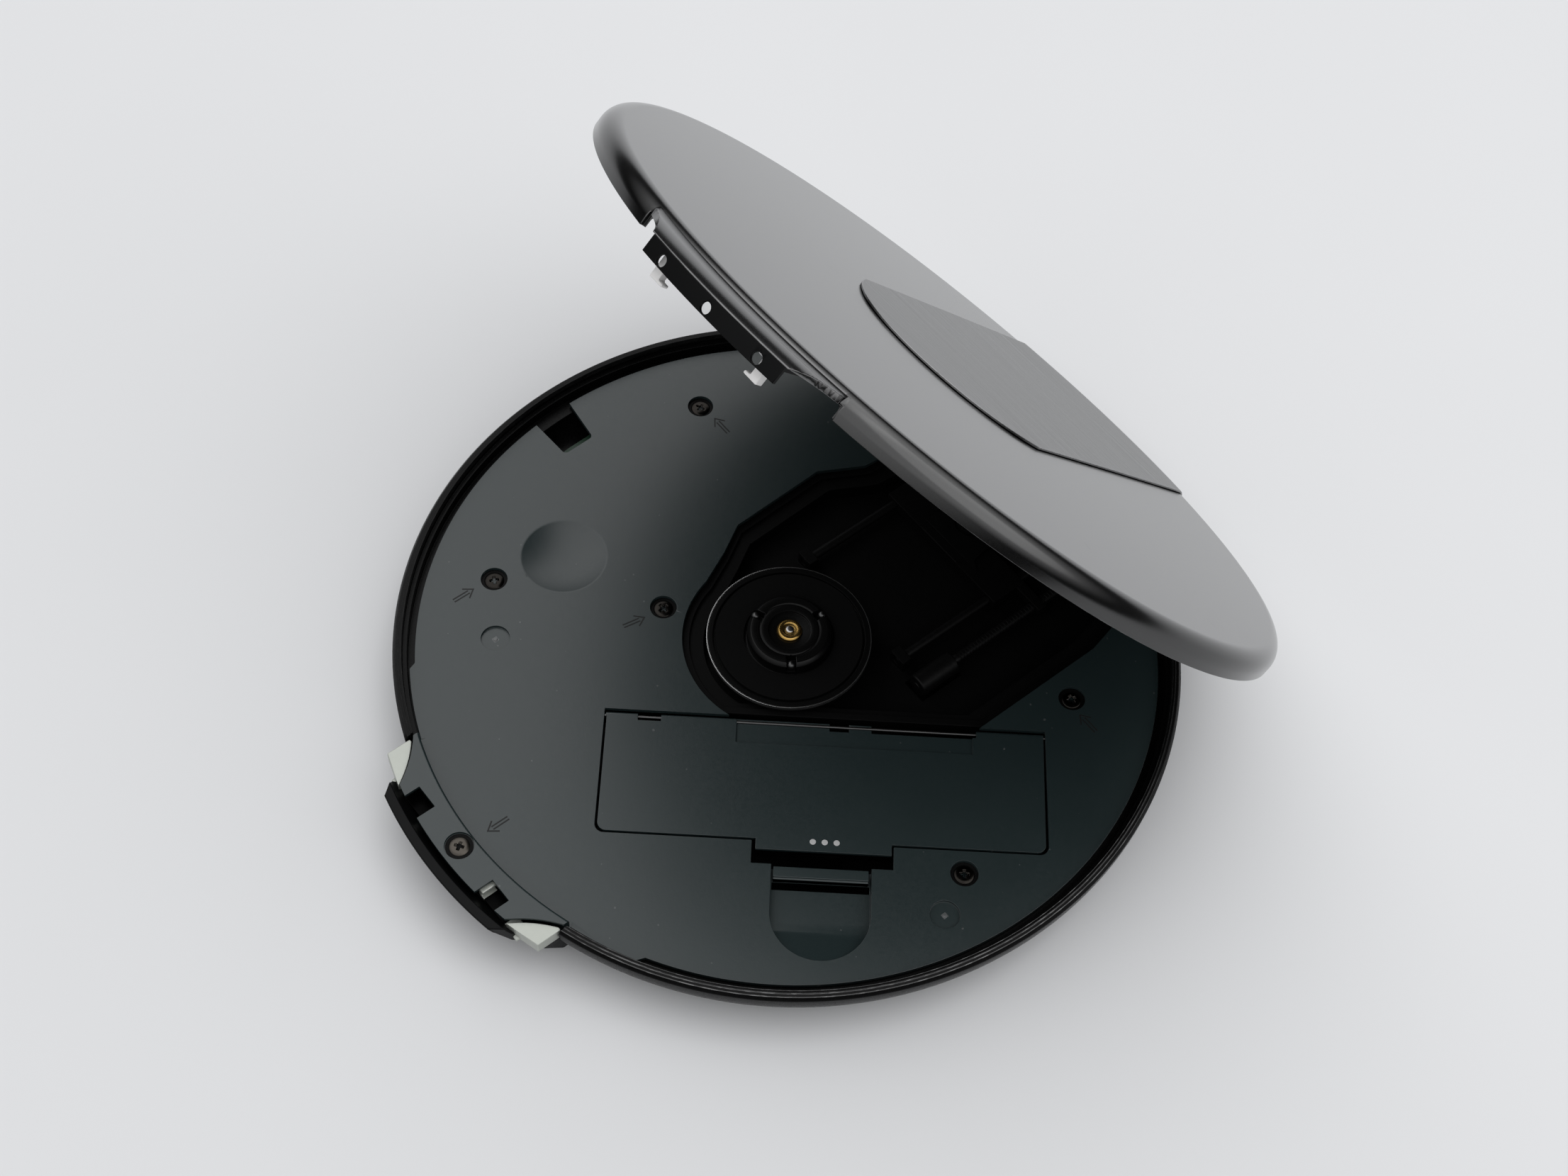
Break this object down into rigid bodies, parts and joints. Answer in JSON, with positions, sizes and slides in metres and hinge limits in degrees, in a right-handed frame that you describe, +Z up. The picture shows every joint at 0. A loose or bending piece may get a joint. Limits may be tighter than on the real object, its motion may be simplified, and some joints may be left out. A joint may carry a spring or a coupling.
{
  "type": "portable cd player",
  "caption": "Round portable disc player with hinged grey lid standing open, spindle and pickup in a dark well, battery door, front block with release levers",
  "frame": {"origin": "on the flat underside of the base, straight below the spindle; the four feet stand 0.4 mm lower", "axes": "+Z up, front block and latch at -Y, lid hinge at +Y, +X to the right seen from the front"},
  "size_m": [0.1316, 0.1454, 0.1105],
  "materials": {
    "black_plastic": "satin moulded",
    "slate_plastic": "fine matte",
    "button_plastic": "satin moulded",
    "silver_paint": "silver lacquer",
    "milky_plastic": "translucent white",
    "lid_metal": "satin grey lacquer",
    "brushed_plate": "brushed",
    "pickup_metal": "satin",
    "turntable_metal": "turned",
    "steel": "bright",
    "cell_sleeve": "plain sleeve",
    "brass": "turned",
    "rubber": "matte",
    "board": "solder mask",
    "lens_glass": "coated"
  },
  "bodies": {
    "base": {"base_shell": "black_plastic", "battery_cell": "cell_sleeve", "battery_frame": "black_plastic", "circuit_board": "board", "contact_negative": "brass", "contact_positive": "brass", "door_hinge_rod": "steel", "feed_motor": "steel", "floor_plate": "slate_plastic", "foot_045": "rubber", "foot_135": "rubber", "foot_225": "rubber", "foot_315": "rubber", "front_bumper": "black_plastic", "guide_rod_left": "steel", "guide_rod_right": "steel", "headphone_jack": "black_plastic", "hinge_pin": "steel", "hinge_spring": "steel", "mechanism_chassis": "black_plastic", "power_jack": "black_plastic", "spindle_motor": "steel", "switch_board": "board"},
    "lid": {"lid_shell": "lid_metal", "emblem_plate": "brushed_plate", "latch_strip": "black_plastic", "latch_claw_left": "milky_plastic", "latch_claw_right": "milky_plastic", "lid_liner": "black_plastic", "hinge_bracket": "steel"},
    "door": {"battery_door": "slate_plastic"},
    "door_latch": {"battery_latch": "slate_plastic"},
    "disc_table": {"spindle_shaft": "steel", "spindle_bush": "brass", "turntable": "turntable_metal", "turntable_mat": "rubber"},
    "ball_084": {"chucking_ball_084": "steel"},
    "ball_204": {"chucking_ball_204": "steel"},
    "ball_324": {"chucking_ball_324": "steel"},
    "sled": {"pickup_sled": "black_plastic", "pickup_cover": "pickup_metal"},
    "lens": {"lens_holder": "black_plastic", "objective_lens": "lens_glass"},
    "screw": {"lead_screw": "steel"},
    "lever_left": {"release_lever_left": "silver_paint"},
    "lever_right": {"release_lever_right": "silver_paint"},
    "hold": {"hold_switch": "button_plastic"},
    "key_128": {"button_128": "button_plastic"},
    "key_136": {"button_136": "button_plastic"},
    "key_144": {"button_144": "button_plastic"},
    "key_152": {"button_152": "button_plastic"}
  },
  "joints": [
    {"name": "lid_hinge", "type": "hinge", "parent": "base", "child": "lid", "pos_m": [0, 0.06405, 0.00354], "axis": [-1, 0, 0], "range_deg": [-47.74, 0]},
    {"name": "battery_door_hinge", "type": "hinge", "parent": "base", "child": "door", "pos_m": [0.01243, -0.01062, 0.00775], "axis": [-0.6494, -0.7604, 0], "range_deg": [0, 95]},
    {"name": "battery_latch_slide", "type": "slide", "parent": "base", "child": "door_latch", "axis": [0.7604, -0.6494, 0], "range_m": [0, 0.0014], "stiffness_N_per_m": 60},
    {"name": "turntable_spin", "type": "hinge", "parent": "base", "child": "disc_table", "pos_m": [0, 0, 0.009], "axis": [0, 0, 1], "continuous": true},
    {"name": "sled_slide", "type": "slide", "parent": "base", "child": "sled", "axis": [0, 1, 0], "range_m": [-0.0175, 0.0155]},
    {"name": "lens_focus", "type": "slide", "parent": "sled", "child": "lens", "axis": [0, 0, 1], "range_m": [-0.0003, 0.0003], "stiffness_N_per_m": 40},
    {"name": "lead_screw_spin", "type": "hinge", "parent": "base", "child": "screw", "pos_m": [0.0188, 0.0206, 0.0052], "axis": [0, 1, 0], "range_deg": [-2110, 1870]},
    {"name": "release_left_slide", "type": "slide", "parent": "base", "child": "lever_left", "axis": [1, 0, 0], "range_m": [0, 0.001], "stiffness_N_per_m": 100},
    {"name": "release_right_slide", "type": "slide", "parent": "base", "child": "lever_right", "axis": [-1, 0, 0], "range_m": [0, 0.001], "stiffness_N_per_m": 100},
    {"name": "ball_084_slide", "type": "slide", "parent": "disc_table", "child": "ball_084", "axis": [-0.1045, -0.9945, 0], "range_m": [0, 0.0004], "stiffness_N_per_m": 50},
    {"name": "ball_204_slide", "type": "slide", "parent": "disc_table", "child": "ball_204", "axis": [0.9135, 0.4067, 0], "range_m": [0, 0.0004], "stiffness_N_per_m": 50},
    {"name": "ball_324_slide", "type": "slide", "parent": "disc_table", "child": "ball_324", "axis": [-0.809, 0.5878, 0], "range_m": [0, 0.0004], "stiffness_N_per_m": 50},
    {"name": "button_128_press", "type": "slide", "parent": "base", "child": "key_128", "axis": [0.6157, -0.788, 0], "range_m": [0, 0.0004], "stiffness_N_per_m": 100},
    {"name": "button_136_press", "type": "slide", "parent": "base", "child": "key_136", "axis": [0.7193, -0.6947, 0], "range_m": [0, 0.0004], "stiffness_N_per_m": 100},
    {"name": "button_144_press", "type": "slide", "parent": "base", "child": "key_144", "axis": [0.809, -0.5878, 0], "range_m": [0, 0.0004], "stiffness_N_per_m": 100},
    {"name": "button_152_press", "type": "slide", "parent": "base", "child": "key_152", "axis": [0.8829, -0.4695, 0], "range_m": [0, 0.0004], "stiffness_N_per_m": 100},
    {"name": "hold_switch_slide", "type": "slide", "parent": "base", "child": "hold", "axis": [0.5299, -0.848, 0], "range_m": [0, 0.002]}
  ],
  "couplings": [
    {"joint": "lead_screw_spin", "follows": "sled_slide", "rad_per_m": 2094.4}
  ]
}
